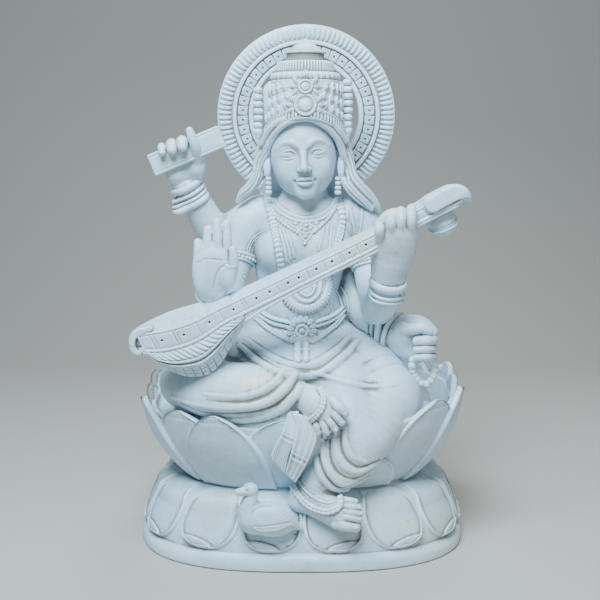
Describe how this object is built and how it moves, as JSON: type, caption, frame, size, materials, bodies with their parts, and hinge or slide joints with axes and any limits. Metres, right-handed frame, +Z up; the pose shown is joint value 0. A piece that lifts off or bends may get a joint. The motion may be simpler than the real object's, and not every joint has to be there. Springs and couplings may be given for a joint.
{
  "type": "saraswati figure",
  "caption": "Four-armed goddess of learning seated on a double lotus with veena, book, prayer beads and swan, a toothed halo behind her crown, carved from one block of white marble",
  "frame": {"origin": "middle of the plinth's flat underside", "axes": "+Z up, -Y to the front where she faces, +X to her left"},
  "size_m": [0.388, 0.3012, 0.61],
  "materials": {
    "marble": "matte"
  },
  "bodies": {
    "root": {"statue": "marble"}
  },
  "joints": []
}
